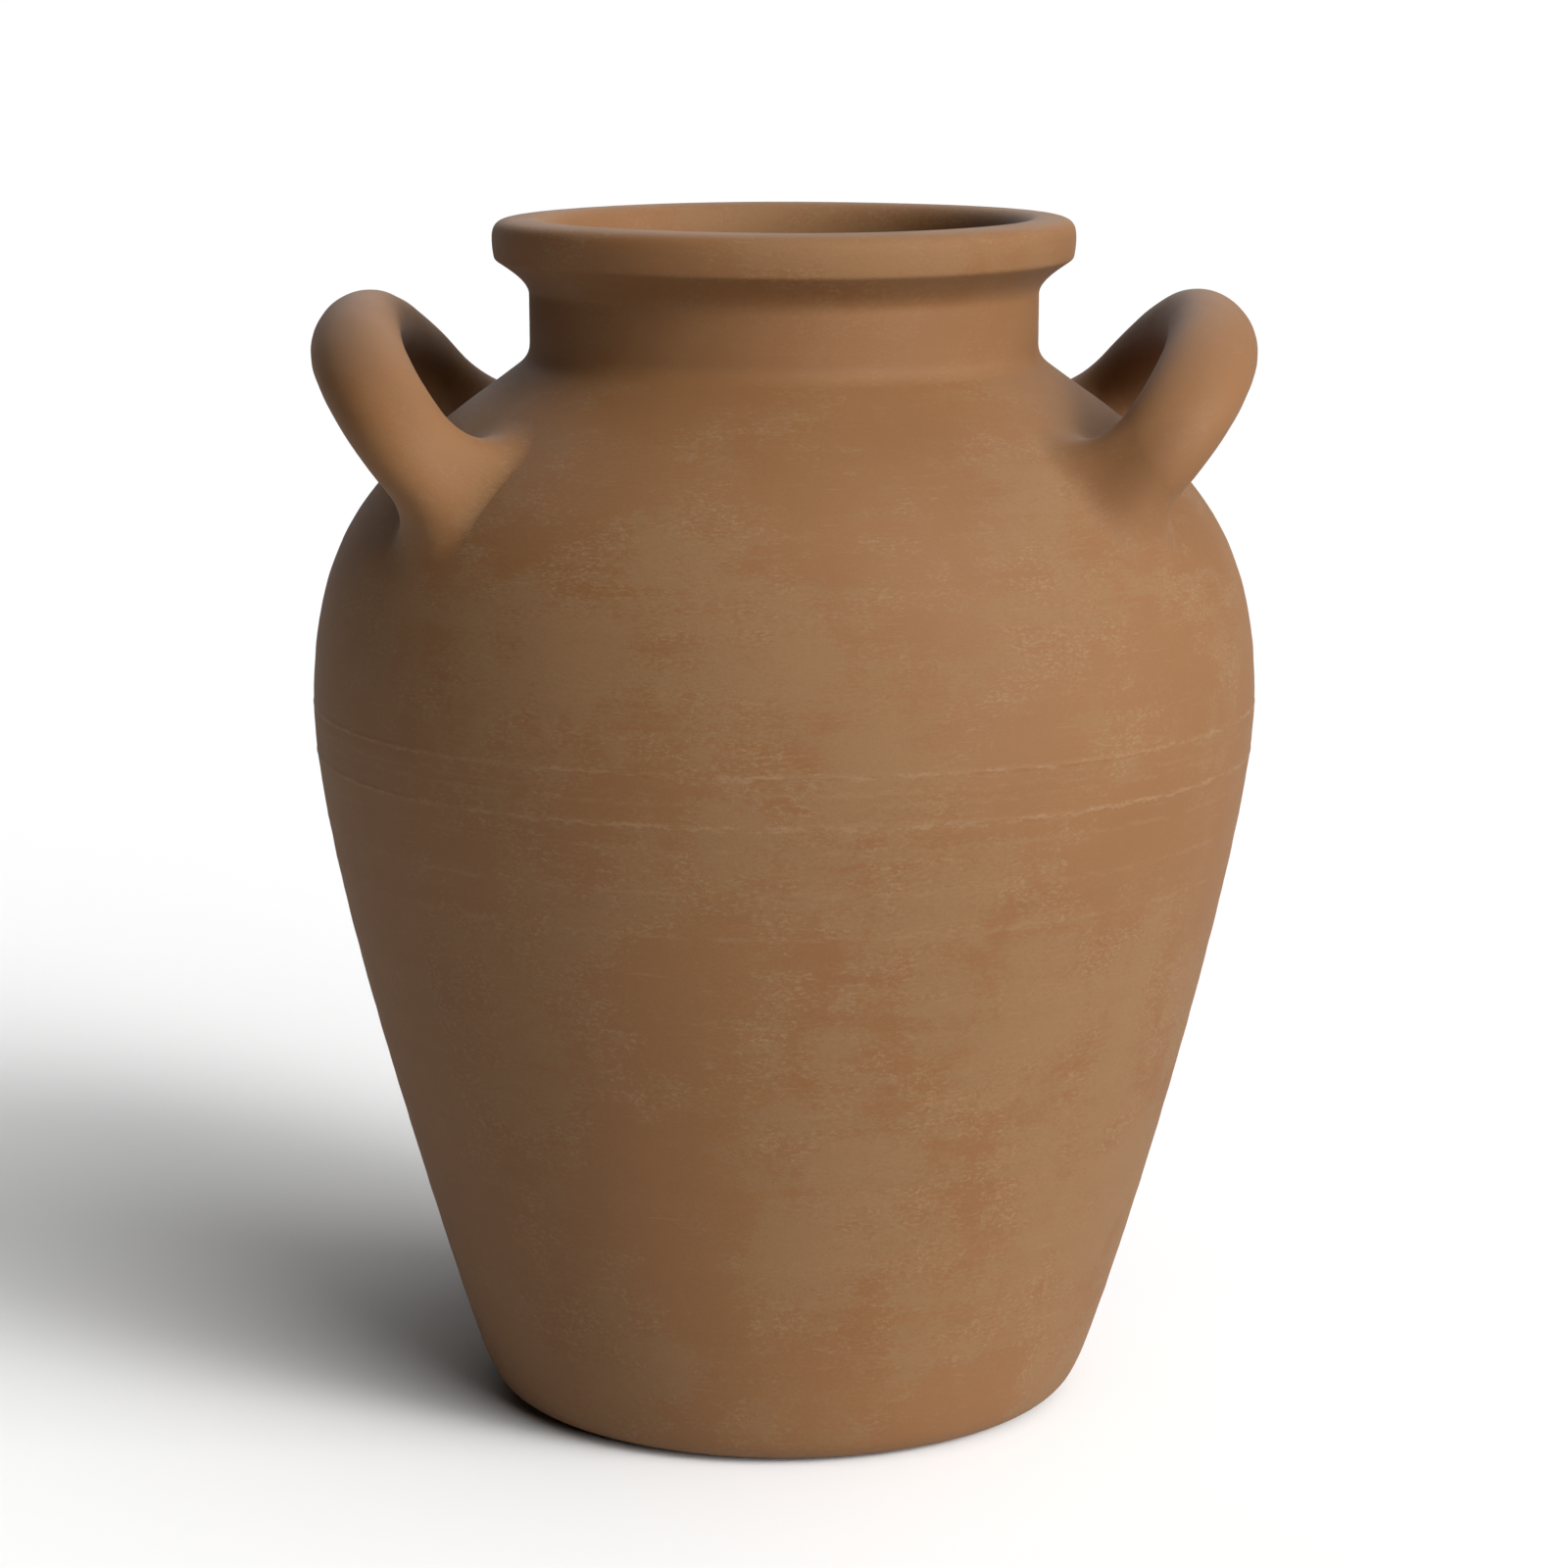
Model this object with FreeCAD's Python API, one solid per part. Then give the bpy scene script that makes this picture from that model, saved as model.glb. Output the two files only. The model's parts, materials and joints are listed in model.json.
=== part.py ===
# Two-handled terracotta jar, built up from the pieces of clay that its potter makes.
#
# The jar stands on z = 0 with its axis on Z, and its two handles lie along X.
# The body is a stack of rings: floor, lower wall, joining band, upper wall, neck and rim.
# Each handle is an oval rope of clay bent to a loop, with both ends pressed on the shoulder,
# and a coil of clay is worked into the corner round each end.
# Neighbouring pieces meet face to face. All dimensions are in millimetres.

import FreeCAD, Part
import math
import os

from FreeCAD import Vector

# Heights and radii of the outside
HEIGHT = 450.0
FOOT_RADIUS = 94.8
HEEL_RADIUS = 117.4
HEEL_HEIGHT = 18.2
BELLY_RADIUS = 178.1
BELLY_HEIGHT = 269.0
NECK_RADIUS = 95.1
NECK_FOOT = 398.1
NECK_TOP = 420.7
LIP_UNDERSIDE_RADIUS = 108.0
LIP_UNDERSIDE_HEIGHT = 434.6
CREST_RADIUS = 95.9

# How the outside bends: lean is the radius gained per unit of height
HEEL_LEAN = 0.406
SHOULDER_LEAN = -1.363
HEEL_FOOT_PULL = 17.3
HEEL_TOP_PULL = 8.5
WALL_FOOT_PULL = 13.8
BELLY_PULL_DOWN = 58.2
BELLY_PULL_UP = 75.4
SHOULDER_PULL = 35.3
NECK_FILLET = 5.0

# How the rim bends: the hollow under it, its bulging face and its rounded lip
HOLLOW_PULL_IN = 1.2
HOLLOW_PULL_UP = 5.0
FACE_BULGE = 2.5
FACE_TOP_BULGE = 0.1
FACE_TOP_DROP = 1.1
LIP_CREST_PULL = 6.4
LIP_INNER_DROP = 7.0

# Clay thickness and the inside
WALL = 9.5
FLOOR = 13.0
BORE_RADIUS = 86.0
BORE_TOP = 430.0
FLOOR_FLAT_RADIUS = 80.0
FLOOR_CORNER = 24.0
SEAM_OVER_FLOOR = 1.0
BASE_TOP = FLOOR + SEAM_OVER_FLOOR

# The band of clay over the joint of the two thrown sections
BAND_WIDTH = 18.0
BAND_BOTTOM = BELLY_HEIGHT - BAND_WIDTH

# Centre line of the right handle's front half, from the shoulder to the top of the loop
HANDLE_ROOT = Vector(120.6, -87.8, 358.4)
HANDLE_ROOT_PULL = Vector(18.3, -12.2, 20.2)
HANDLE_TOP = Vector(159.1, 0.0, 406.6)
HANDLE_TOP_PULL = Vector(0.0, -70.6, 0.0)
ROOT_DEPTH = 30.0

# Half sizes of the handle's oval section: across the loop's plane, and in it
LEG_HALF_WIDTH = 16.5
LEG_HALF_DEPTH = 13.0
TOP_HALF_WIDTH = 17.3
TOP_HALF_DEPTH = 14.6
HALF_SECTIONS = 9

# The luting coil: how far it spreads over the shoulder, and how far it climbs the leg
LUTING_SPREAD_WIDTH = 8.0
LUTING_SPREAD_DEPTH = 9.0
LUTING_FADE = 11.0
LUTING_REACH = 22.0
LUTING_EDGE = 0.5
LUTING_SECTIONS = 6

SECTION_POINTS = 16
PARTS = "parts"


def on_plane(radius, height):
    """A point of an outline, drawn in the half plane y = 0, x > 0."""
    return Vector(radius, 0.0, height)


def curve_through(*poles):
    """A Bezier curve from its control points, each given as (radius, height)."""
    curve = Part.BezierCurve()
    curve.setPoles([on_plane(radius, height) for radius, height in poles])
    return curve


def parameter_at(curve, height):
    """Where a curve that only rises reaches a height."""
    low = 0.0
    high = 1.0
    while high - low > 1e-12:
        middle = (low + high) / 2
        if curve.value(middle).z < height:
            low = middle
        else:
            high = middle
    return (low + high) / 2


def stretch(curve, bottom, top):
    """The part of a rising curve between two heights, as an edge."""
    return curve.toShape(parameter_at(curve, bottom), parameter_at(curve, top))


def line(start, end):
    return Part.LineSegment(start, end).toShape()


def turn(edges):
    """The solid of revolution about Z of a closed outline."""
    outline = Part.Wire(Part.__sortEdges__(edges))
    return Part.Face(outline).revolve(Vector(0, 0, 0), Vector(0, 0, 1), 360)


# The outside, from the foot up

heel = curve_through(
    (FOOT_RADIUS, 0.0),
    (FOOT_RADIUS + HEEL_FOOT_PULL, 0.0),
    (HEEL_RADIUS - HEEL_LEAN * HEEL_TOP_PULL, HEEL_HEIGHT - HEEL_TOP_PULL),
    (HEEL_RADIUS, HEEL_HEIGHT),
)
wall = curve_through(
    (HEEL_RADIUS, HEEL_HEIGHT),
    (HEEL_RADIUS + HEEL_LEAN * WALL_FOOT_PULL, HEEL_HEIGHT + WALL_FOOT_PULL),
    (BELLY_RADIUS, BELLY_HEIGHT - BELLY_PULL_DOWN),
    (BELLY_RADIUS, BELLY_HEIGHT),
)
shoulder = curve_through(
    (BELLY_RADIUS, BELLY_HEIGHT),
    (BELLY_RADIUS, BELLY_HEIGHT + BELLY_PULL_UP),
    (NECK_RADIUS - SHOULDER_LEAN * SHOULDER_PULL, NECK_FOOT - SHOULDER_PULL),
    (NECK_RADIUS, NECK_FOOT),
)

# The inside, one clay thickness in

SHOULDER_SLANT = math.hypot(1.0, SHOULDER_LEAN)
BORE_FOOT = NECK_FOOT - (WALL * SHOULDER_SLANT - NECK_RADIUS + BORE_RADIUS) / -SHOULDER_LEAN
INNER_BELLY_RADIUS = BELLY_RADIUS - WALL

inner_wall = curve_through(
    (HEEL_RADIUS - WALL, HEEL_HEIGHT),
    (HEEL_RADIUS - WALL + HEEL_LEAN * WALL_FOOT_PULL, HEEL_HEIGHT + WALL_FOOT_PULL),
    (INNER_BELLY_RADIUS, BELLY_HEIGHT - BELLY_PULL_DOWN),
    (INNER_BELLY_RADIUS, BELLY_HEIGHT),
)
inner_shoulder = curve_through(
    (INNER_BELLY_RADIUS, BELLY_HEIGHT),
    (INNER_BELLY_RADIUS, BELLY_HEIGHT + BELLY_PULL_UP - WALL / 2),
    (BORE_RADIUS - SHOULDER_LEAN * SHOULDER_PULL, BORE_FOOT - SHOULDER_PULL),
    (BORE_RADIUS, BORE_FOOT),
)

CORNER_TOP = FLOOR + FLOOR_CORNER
corner_parameter = parameter_at(inner_wall, CORNER_TOP)
corner_end = inner_wall.value(corner_parameter)
corner_pull = corner_end - inner_wall.tangent(corner_parameter)[0] * (FLOOR_CORNER / 2)
inner_corner = curve_through(
    (FLOOR_FLAT_RADIUS, FLOOR),
    (FLOOR_FLAT_RADIUS + FLOOR_CORNER / 2, FLOOR),
    (corner_pull.x, corner_pull.z),
    (corner_end.x, corner_end.z),
)

# The seam of the shoulder and the neck runs from where the small fillet between them begins
# to the foot of the bore
fillet_start = shoulder.value(parameter_at(shoulder, NECK_FOOT - NECK_FILLET / SHOULDER_SLANT))
bore_start = on_plane(BORE_RADIUS, BORE_FOOT)


def base_disc():
    """The floor slab, with the round of the heel up to just over the floor."""
    outer_top = heel.value(parameter_at(heel, BASE_TOP))
    inner_top = inner_corner.value(parameter_at(inner_corner, BASE_TOP))
    return turn([
        line(on_plane(0, 0), on_plane(FOOT_RADIUS, 0)),
        stretch(heel, 0.0, BASE_TOP),
        line(outer_top, inner_top),
        stretch(inner_corner, FLOOR, BASE_TOP),
        line(on_plane(FLOOR_FLAT_RADIUS, FLOOR), on_plane(0, FLOOR)),
        line(on_plane(0, FLOOR), on_plane(0, 0)),
    ])


def lower_wall():
    """The first thrown section, from the heel up to the joining band."""
    outer_foot = heel.value(parameter_at(heel, BASE_TOP))
    inner_foot = inner_corner.value(parameter_at(inner_corner, BASE_TOP))
    outer_top = wall.value(parameter_at(wall, BAND_BOTTOM))
    inner_top = inner_wall.value(parameter_at(inner_wall, BAND_BOTTOM))
    return turn([
        stretch(heel, BASE_TOP, HEEL_HEIGHT),
        stretch(wall, HEEL_HEIGHT, BAND_BOTTOM),
        line(outer_top, inner_top),
        stretch(inner_wall, CORNER_TOP, BAND_BOTTOM),
        stretch(inner_corner, BASE_TOP, CORNER_TOP),
        line(inner_foot, outer_foot),
    ])


def joining_band():
    """The smoothed coil of clay between the two thrown sections."""
    outer_foot = wall.value(parameter_at(wall, BAND_BOTTOM))
    inner_foot = inner_wall.value(parameter_at(inner_wall, BAND_BOTTOM))
    outer_top = on_plane(BELLY_RADIUS, BELLY_HEIGHT)
    inner_top = on_plane(INNER_BELLY_RADIUS, BELLY_HEIGHT)
    return turn([
        stretch(wall, BAND_BOTTOM, BELLY_HEIGHT),
        line(outer_top, inner_top),
        stretch(inner_wall, BAND_BOTTOM, BELLY_HEIGHT),
        line(inner_foot, outer_foot),
    ])


def upper_wall():
    """The second thrown section: the shoulder, up to the foot of the neck."""
    outer_foot = on_plane(BELLY_RADIUS, BELLY_HEIGHT)
    inner_foot = on_plane(INNER_BELLY_RADIUS, BELLY_HEIGHT)
    return turn([
        stretch(shoulder, BELLY_HEIGHT, fillet_start.z),
        line(fillet_start, bore_start),
        inner_shoulder.toShape(),
        line(inner_foot, outer_foot),
    ])


def neck_collar():
    """The short straight neck, flared at its foot by a small fillet."""
    fillet = curve_through(
        (fillet_start.x, fillet_start.z),
        (NECK_RADIUS, NECK_FOOT),
        (NECK_RADIUS, NECK_FOOT + NECK_FILLET),
    )
    return turn([
        line(bore_start, fillet_start),
        fillet.toShape(),
        line(on_plane(NECK_RADIUS, NECK_FOOT + NECK_FILLET), on_plane(NECK_RADIUS, NECK_TOP)),
        line(on_plane(NECK_RADIUS, NECK_TOP), on_plane(BORE_RADIUS, NECK_TOP)),
        line(on_plane(BORE_RADIUS, NECK_TOP), bore_start),
    ])


def rim_ring():
    """The heavy rolled rim: a hollow curve below, a bulging face and a rounded lip."""
    hollow = curve_through(
        (NECK_RADIUS, NECK_TOP),
        (NECK_RADIUS - HOLLOW_PULL_IN, NECK_TOP + HOLLOW_PULL_UP),
        (LIP_UNDERSIDE_RADIUS, LIP_UNDERSIDE_HEIGHT),
    )
    face = curve_through(
        (LIP_UNDERSIDE_RADIUS, LIP_UNDERSIDE_HEIGHT),
        (LIP_UNDERSIDE_RADIUS + FACE_BULGE, HEIGHT - FACE_TOP_DROP),
        (LIP_UNDERSIDE_RADIUS + FACE_TOP_BULGE, HEIGHT),
        (CREST_RADIUS, HEIGHT),
    )
    lip = curve_through(
        (CREST_RADIUS, HEIGHT),
        (CREST_RADIUS - LIP_CREST_PULL, HEIGHT),
        (BORE_RADIUS, HEIGHT - LIP_INNER_DROP),
        (BORE_RADIUS, BORE_TOP),
    )
    return turn([
        line(on_plane(BORE_RADIUS, NECK_TOP), on_plane(NECK_RADIUS, NECK_TOP)),
        hollow.toShape(),
        face.toShape(),
        lip.toShape(),
        line(on_plane(BORE_RADIUS, BORE_TOP), on_plane(BORE_RADIUS, NECK_TOP)),
    ])


# The handles

loop_rise = Vector(HANDLE_TOP.x - HANDLE_ROOT.x, 0.0, HANDLE_TOP.z - HANDLE_ROOT.z).normalize()
loop_normal = Vector(loop_rise.z, 0.0, -loop_rise.x)

centre_line = Part.BezierCurve()
centre_line.setPoles([
    HANDLE_ROOT,
    HANDLE_ROOT + HANDLE_ROOT_PULL,
    HANDLE_TOP + HANDLE_TOP_PULL,
    HANDLE_TOP,
])


def oval(centre, direction, half_width, half_depth):
    """A closed oval across the handle, at a point of its centre line."""
    in_plane = direction.cross(loop_normal).normalize()
    across = in_plane.cross(direction).normalize()
    points = []
    for step in range(SECTION_POINTS):
        angle = 2 * math.pi * step / SECTION_POINTS
        offset = across * (half_width * math.cos(angle)) + in_plane * (half_depth * math.sin(angle))
        points.append(centre + offset)
    ring = Part.BSplineCurve()
    ring.interpolate(Points=points, PeriodicFlag=True)
    return Part.Wire(ring.toShape())


def leg_half_sizes(share):
    """Half width and half depth of the leg, from its root (0) to the top of the loop (1)."""
    half_width = LEG_HALF_WIDTH + (TOP_HALF_WIDTH - LEG_HALF_WIDTH) * share
    half_depth = LEG_HALF_DEPTH + (TOP_HALF_DEPTH - LEG_HALF_DEPTH) * share
    return half_width, half_depth


def mirror_y(point):
    return Vector(point.x, -point.y, point.z)


def whole_handle():
    """The right handle's loop, with both ends run on through the wall."""
    stations = []
    root_direction = centre_line.tangent(0.0)[0]
    stations.append((HANDLE_ROOT - root_direction * ROOT_DEPTH, root_direction, 0.0))
    for step in range(HALF_SECTIONS):
        share = step / (HALF_SECTIONS - 1)
        stations.append((centre_line.value(share), centre_line.tangent(share)[0], share))
    ovals = [oval(centre, direction, *leg_half_sizes(share)) for centre, direction, share in stations]
    for centre, direction, share in reversed(stations[:-1]):
        back_direction = mirror_y(direction) * -1
        ovals.append(oval(mirror_y(centre), back_direction, *leg_half_sizes(share)))
    return Part.makeLoft(ovals, True, False)


def whole_luting():
    """A flared sleeve round the right handle's front root, run on through the wall."""
    direction = centre_line.tangent(0.0)[0]
    ovals = []
    for step in range(-1, LUTING_SECTIONS):
        climb = LUTING_REACH * step / (LUTING_SECTIONS - 1)
        if step < 0:
            climb = -ROOT_DEPTH
        share = centre_line.parameterAtDistance(max(climb, 0.0))
        half_width, half_depth = leg_half_sizes(share)
        fade = math.exp(-(max(climb, 0.0) / LUTING_FADE) ** 2)
        centre = centre_line.value(share) if step > 0 else HANDLE_ROOT + direction * climb
        ovals.append(oval(
            centre,
            centre_line.tangent(share)[0],
            half_width + LUTING_EDGE + LUTING_SPREAD_WIDTH * fade,
            half_depth + LUTING_EDGE + LUTING_SPREAD_DEPTH * fade,
        ))
    return Part.makeLoft(ovals, True, False)


def shoulder_block():
    """Everything inside the shoulder's outer surface, used to trim what is pressed on it."""
    return turn([
        line(on_plane(0, BELLY_HEIGHT), on_plane(BELLY_RADIUS, BELLY_HEIGHT)),
        shoulder.toShape(),
        line(on_plane(NECK_RADIUS, NECK_FOOT), on_plane(0, NECK_FOOT)),
        line(on_plane(0, NECK_FOOT), on_plane(0, BELLY_HEIGHT)),
    ])


def build():
    """Every piece, by name."""
    pieces = {
        "base_disc": base_disc(),
        "lower_wall": lower_wall(),
        "joining_band": joining_band(),
        "upper_wall": upper_wall(),
        "neck_collar": neck_collar(),
        "rim_ring": rim_ring(),
    }
    block = shoulder_block()
    loop = whole_handle()
    handle = loop.cut(block)
    front_luting = whole_luting().cut(block).cut(loop)
    back_luting = front_luting.mirror(Vector(0, 0, 0), Vector(0, 1, 0))
    right_side = {"": handle, "_front_luting": front_luting, "_back_luting": back_luting}
    for ending, shape in right_side.items():
        pieces["handle_right" + ending] = shape
        pieces["handle_left" + ending] = shape.mirror(Vector(0, 0, 0), Vector(1, 0, 0))
    return pieces


os.makedirs(PARTS, exist_ok=True)
for name, shape in build().items():
    print(name, "valid" if shape.isValid() else "NOT VALID", len(shape.Solids), round(shape.Volume))
    shape.exportStep(os.path.join(PARTS, name + ".step"))
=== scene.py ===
# Two-handled terracotta jar: each piece of clay is modelled again over its CAD node, with the
# marks of its making, and all of them share one procedural terracotta.
#
# Lengths are in metres. The jar stands on z = 0 with its axis on Z and its handles along X.

import json
import math

import bpy
import numpy as np
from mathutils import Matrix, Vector


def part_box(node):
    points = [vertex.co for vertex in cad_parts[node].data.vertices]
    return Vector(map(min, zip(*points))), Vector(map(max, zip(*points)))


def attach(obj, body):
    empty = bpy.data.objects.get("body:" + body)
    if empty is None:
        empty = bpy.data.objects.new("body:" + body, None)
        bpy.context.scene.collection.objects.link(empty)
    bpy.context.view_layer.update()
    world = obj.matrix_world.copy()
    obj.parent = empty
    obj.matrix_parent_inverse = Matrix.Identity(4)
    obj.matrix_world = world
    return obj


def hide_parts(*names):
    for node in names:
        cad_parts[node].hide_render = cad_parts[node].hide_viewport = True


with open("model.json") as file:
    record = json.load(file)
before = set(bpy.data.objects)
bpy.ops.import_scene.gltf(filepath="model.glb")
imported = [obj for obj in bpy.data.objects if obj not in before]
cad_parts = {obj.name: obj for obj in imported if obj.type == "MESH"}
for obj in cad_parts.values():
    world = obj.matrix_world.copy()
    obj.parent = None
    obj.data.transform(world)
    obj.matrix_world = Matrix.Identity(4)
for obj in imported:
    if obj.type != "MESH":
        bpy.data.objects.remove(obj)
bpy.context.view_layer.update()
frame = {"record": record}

MM = 0.001
SEED = 11

# How much further up than the straight bore the mount called mouth reaches
BORE_MARGIN = 0.5 * MM

# Places that come from the CAD pieces
BASE_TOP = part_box("base_disc")[1].z
BAND_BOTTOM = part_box("joining_band")[0].z
BELLY_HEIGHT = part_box("joining_band")[1].z
BELLY_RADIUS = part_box("joining_band")[1].x
SHOULDER_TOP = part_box("upper_wall")[1].z
BORE_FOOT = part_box("neck_collar")[0].z
NECK_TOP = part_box("neck_collar")[1].z
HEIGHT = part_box("rim_ring")[1].z
MOUTH = next(mount for mount in frame["record"]["mounts"] if mount["name"] == "mouth")
BORE_RADIUS = MOUTH["dims"]["r_mm"] * MM
BORE_TOP = MOUTH["pos_m"][2] + MOUTH["dims"]["length_mm"] * MM / 2 - BORE_MARGIN

# Radii and heights of the outside
FOOT_RADIUS = 94.8 * MM
HEEL_RADIUS = 117.4 * MM
HEEL_HEIGHT = 18.2 * MM
NECK_RADIUS = 95.1 * MM
NECK_FOOT = 398.1 * MM
LIP_UNDERSIDE_RADIUS = 108.0 * MM
LIP_UNDERSIDE_HEIGHT = 434.6 * MM
CREST_RADIUS = 95.9 * MM

# How the outside bends: lean is the radius gained per unit of height
HEEL_LEAN = 0.406
SHOULDER_LEAN = -1.363
HEEL_FOOT_PULL = 17.3 * MM
HEEL_TOP_PULL = 8.5 * MM
WALL_FOOT_PULL = 13.8 * MM
BELLY_PULL_DOWN = 58.2 * MM
BELLY_PULL_UP = 75.4 * MM
SHOULDER_PULL = 35.3 * MM
NECK_FILLET = 5.0 * MM

# How the rim bends: the hollow under it, its bulging face and its rounded lip
HOLLOW_PULL_IN = 1.2 * MM
HOLLOW_PULL_UP = 5.0 * MM
FACE_BULGE = 2.5 * MM
FACE_TOP_BULGE = 0.1 * MM
FACE_TOP_DROP = 1.1 * MM
LIP_CREST_PULL = 6.4 * MM
LIP_INNER_DROP = 7.0 * MM

# Clay thickness and the inside
WALL = 9.5 * MM
FLOOR = 13.0 * MM
FLOOR_FLAT_RADIUS = 80.0 * MM
FLOOR_CORNER = 24.0 * MM

# The right handle's front half: its centre line, and its half sizes at the root and the top
HANDLE_ROOT = np.array([120.6, -87.8, 358.4]) * MM
HANDLE_ROOT_PULL = np.array([18.3, -12.2, 20.2]) * MM
HANDLE_TOP = np.array([159.1, 0.0, 406.6]) * MM
HANDLE_TOP_PULL = np.array([0.0, -70.6, 0.0]) * MM
ROOT_HALF = np.array([16.5, 13.0]) * MM
TOP_HALF = np.array([17.3, 14.6]) * MM

# The luting: how far it climbs the leg and spreads over the shoulder, and how it is shaped
LUTING_CLIMB = 18.0 * MM
LUTING_SPREAD = 13.0 * MM
LUTING_TAIL = 7.0 * MM
LUTING_UPHILL_SPREAD = 11.0 * MM
LUTING_UPHILL_CLIMB = 15.0 * MM
LUTING_BACK_GAIN = 1.3
LUTING_ROUNDNESS = 0.62
LUTING_UNEVENNESS = 0.07
LUTING_DROOP = 0.15

# Mesh density, in steps, in points round a ring, or in rows
ANGLES = 384
ROPE_ANGLES = 112
STEP = 2.3 * MM
RIDGE_STEP = 0.6 * MM
FEWEST_STEPS = 4
EDGE_STEP = 0.2 * MM
STATION_SAMPLES = 4000
CURVE_POINTS = 400
CENTRE_POINTS = 1200
ROPE_ROWS = 54
CAP_ROWS = 4
CAP_INNER_SHARE = 0.1
SEAM_ROWS = 2
FACE_ROWS = 6
HOLLOW_ROWS = 20
BEND_GAIN = 10.0 * MM
PROFILE_STEP = 0.1 * MM
PROFILE_SOFTNESS = 0.8 * MM


# Helpers for shapes

def smooth_step(low, high, value):
    share = np.clip((value - low) / (high - low), 0.0, 1.0)
    return share * share * (3.0 - 2.0 * share)


def unit(vectors):
    return vectors / np.linalg.norm(vectors, axis=-1, keepdims=True)


def bezier(poles, count=CURVE_POINTS):
    """Points along a Bezier curve, by mixing neighbouring poles until one is left."""
    share = np.linspace(0.0, 1.0, count)[:, None]
    points = [np.array(pole, float)[None, :] for pole in poles]
    while len(points) > 1:
        points = [start + (end - start) * share for start, end in zip(points, points[1:])]
    return points[0]


def length_along(points):
    steps = np.linalg.norm(np.diff(points, axis=0), axis=1)
    return np.concatenate([[0.0], np.cumsum(steps)])


def part_of(curve, low, high):
    """The points of a rising curve between two heights, with the ends put in exactly."""
    heights = np.concatenate([[low], curve[(curve[:, 1] > low) & (curve[:, 1] < high), 1], [high]])
    return np.stack([np.interp(heights, curve[:, 1], curve[:, 0]), heights], axis=1)


# The profile: one line from the middle of the foot, up the outside, over the rim,
# down the inside and back to the middle of the floor

def jar_profile():
    heel = bezier([
        (FOOT_RADIUS, 0.0),
        (FOOT_RADIUS + HEEL_FOOT_PULL, 0.0),
        (HEEL_RADIUS - HEEL_LEAN * HEEL_TOP_PULL, HEEL_HEIGHT - HEEL_TOP_PULL),
        (HEEL_RADIUS, HEEL_HEIGHT),
    ])
    wall = bezier([
        (HEEL_RADIUS, HEEL_HEIGHT),
        (HEEL_RADIUS + HEEL_LEAN * WALL_FOOT_PULL, HEEL_HEIGHT + WALL_FOOT_PULL),
        (BELLY_RADIUS, BELLY_HEIGHT - BELLY_PULL_DOWN),
        (BELLY_RADIUS, BELLY_HEIGHT),
    ])
    shoulder = bezier([
        (BELLY_RADIUS, BELLY_HEIGHT),
        (BELLY_RADIUS, BELLY_HEIGHT + BELLY_PULL_UP),
        (NECK_RADIUS - SHOULDER_LEAN * SHOULDER_PULL, NECK_FOOT - SHOULDER_PULL),
        (NECK_RADIUS, NECK_FOOT),
    ])
    shoulder = part_of(shoulder, BELLY_HEIGHT, SHOULDER_TOP)
    fillet = bezier([
        shoulder[-1],
        (NECK_RADIUS, NECK_FOOT),
        (NECK_RADIUS, NECK_FOOT + NECK_FILLET),
    ])
    hollow = bezier([
        (NECK_RADIUS, NECK_TOP),
        (NECK_RADIUS - HOLLOW_PULL_IN, NECK_TOP + HOLLOW_PULL_UP),
        (LIP_UNDERSIDE_RADIUS, LIP_UNDERSIDE_HEIGHT),
    ])
    face = bezier([
        (LIP_UNDERSIDE_RADIUS, LIP_UNDERSIDE_HEIGHT),
        (LIP_UNDERSIDE_RADIUS + FACE_BULGE, HEIGHT - FACE_TOP_DROP),
        (LIP_UNDERSIDE_RADIUS + FACE_TOP_BULGE, HEIGHT),
        (CREST_RADIUS, HEIGHT),
    ])
    lip = bezier([
        (CREST_RADIUS, HEIGHT),
        (CREST_RADIUS - LIP_CREST_PULL, HEIGHT),
        (BORE_RADIUS, HEIGHT - LIP_INNER_DROP),
        (BORE_RADIUS, BORE_TOP),
    ])
    inner_belly = BELLY_RADIUS - WALL
    inner_shoulder = bezier([
        (inner_belly, BELLY_HEIGHT),
        (inner_belly, BELLY_HEIGHT + BELLY_PULL_UP - WALL / 2),
        (BORE_RADIUS - SHOULDER_LEAN * SHOULDER_PULL, BORE_FOOT - SHOULDER_PULL),
        (BORE_RADIUS, BORE_FOOT),
    ])
    inner_wall = bezier([
        (HEEL_RADIUS - WALL, HEEL_HEIGHT),
        (HEEL_RADIUS - WALL + HEEL_LEAN * WALL_FOOT_PULL, HEEL_HEIGHT + WALL_FOOT_PULL),
        (inner_belly, BELLY_HEIGHT - BELLY_PULL_DOWN),
        (inner_belly, BELLY_HEIGHT),
    ])
    inner_wall = part_of(inner_wall, FLOOR + FLOOR_CORNER, BELLY_HEIGHT)
    corner_lean = unit(inner_wall[1] - inner_wall[0])
    corner = bezier([
        (FLOOR_FLAT_RADIUS, FLOOR),
        (FLOOR_FLAT_RADIUS + FLOOR_CORNER / 2, FLOOR),
        inner_wall[0] - corner_lean * FLOOR_CORNER / 2,
        inner_wall[0],
    ])
    outline = np.concatenate([
        [(0.0, 0.0)],
        heel,
        wall[1:],
        shoulder[1:],
        fillet[1:],
        hollow,
        face[1:],
        lip[1:],
        inner_shoulder[::-1],
        inner_wall[::-1][1:],
        corner[::-1][1:],
        [(0.0, FLOOR)],
    ])
    return soften(outline)


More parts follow.
